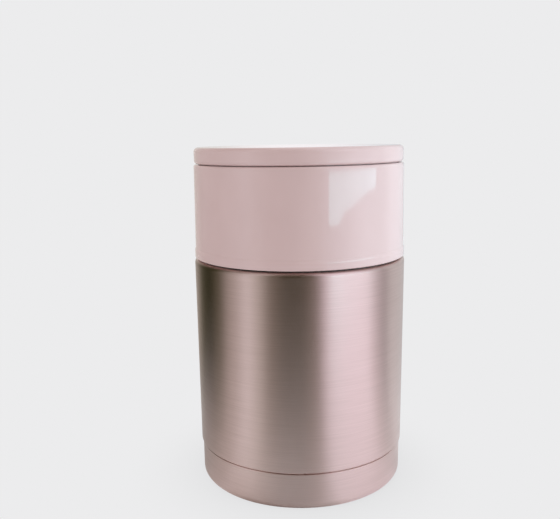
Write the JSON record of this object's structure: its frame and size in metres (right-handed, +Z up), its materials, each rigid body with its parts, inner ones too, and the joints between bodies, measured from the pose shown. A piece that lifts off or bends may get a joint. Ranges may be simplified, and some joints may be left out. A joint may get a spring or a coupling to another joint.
{
  "type": "insulated food jar",
  "caption": "Vacuum-insulated steel food jar with a screw stopper, a vent valve and a pink screw-on bowl cap whose hinged round cover closes over a folding spoon.",
  "frame": {"origin": "middle of the base ring, on the surface that the jar stands on", "axes": "+Z up along the jar's axis; -Y is the front, opposite the cover's hinge; +X is to the right seen from the front"},
  "size_m": [0.105, 0.105, 0.168],
  "materials": {
    "champagne_steel": "circumferentially brushed, tinted clear coat",
    "liner_steel": "satin food-grade steel",
    "plain_steel": "plain pressed steel",
    "polished_steel": "polished",
    "copper_foil": "bright copper foil",
    "pink_gloss": "glossy moulded plastic",
    "bowl_plastic": "smooth food-grade plastic",
    "collar_plastic": "fine moulded texture",
    "stopper_plastic": "fine moulded texture",
    "button_plastic": "glossy moulded plastic",
    "silicone": "translucent white silicone",
    "foam": "expanded foam beads",
    "getter_metal": "sintered metal",
    "seal_metal": "fused sealing bead"
  },
  "bodies": {
    "vessel": {"outer_shell": "champagne_steel", "base_plate": "plain_steel", "evacuation_seal": "seal_metal", "getter": "getter_metal", "getter_clip": "plain_steel", "inner_liner": "liner_steel", "reflective_foil": "copper_foil", "neck_collar": "collar_plastic", "base_cup": "champagne_steel"},
    "stopper_ring": {"stopper_gasket": "silicone"},
    "stopper": {"stopper_body": "stopper_plastic", "stopper_insulation": "foam", "stopper_top": "stopper_plastic", "vent_spring": "plain_steel"},
    "vent": {"vent_button": "button_plastic", "vent_stem": "stopper_plastic", "vent_seal": "silicone"},
    "cap_ring": {"cap_gasket": "silicone"},
    "bowl_cap": {"cap_shell": "pink_gloss", "cap_band": "pink_gloss", "bowl_liner": "bowl_plastic", "spoon_tray": "bowl_plastic", "spoon_bowl": "polished_steel", "spoon_handle": "polished_steel", "spoon_pivot": "polished_steel", "hinge_pin": "polished_steel"},
    "cover": {"cover_disc": "pink_gloss", "cover_liner": "bowl_plastic"}
  },
  "joints": [
    {"name": "stopper_rise", "type": "slide", "parent": "vessel", "child": "stopper_ring", "axis": [0, 0, 1], "range_m": [0, 0.0451]},
    {"name": "stopper_turn", "type": "hinge", "parent": "stopper_ring", "child": "stopper", "pos_m": [0, 0, 0.133], "axis": [0, 0, 1], "range_deg": [0, 810]},
    {"name": "vent_press", "type": "slide", "parent": "stopper", "child": "vent", "axis": [0, 0, -1], "range_m": [0, 0.0025], "stiffness_N_per_m": 400, "springref_m": -0.004, "deforming": ["vent_spring"]},
    {"name": "cap_rise", "type": "slide", "parent": "stopper", "child": "cap_ring", "axis": [0, 0, 1], "range_m": [0, 0.0401]},
    {"name": "cap_turn", "type": "hinge", "parent": "cap_ring", "child": "bowl_cap", "pos_m": [0, 0, 0.133], "axis": [0, 0, 1], "range_deg": [0, 720]},
    {"name": "cover_flip", "type": "hinge", "parent": "bowl_cap", "child": "cover", "pos_m": [0, 0.0504, 0.16005], "axis": [-1, 0, 0], "range_deg": [0, 115]}
  ],
  "couplings": [
    {"joint": "stopper_rise", "follows": "stopper_turn", "m_per_rad": 0.0031831},
    {"joint": "cap_rise", "follows": "cap_turn", "m_per_rad": 0.0031831}
  ]
}
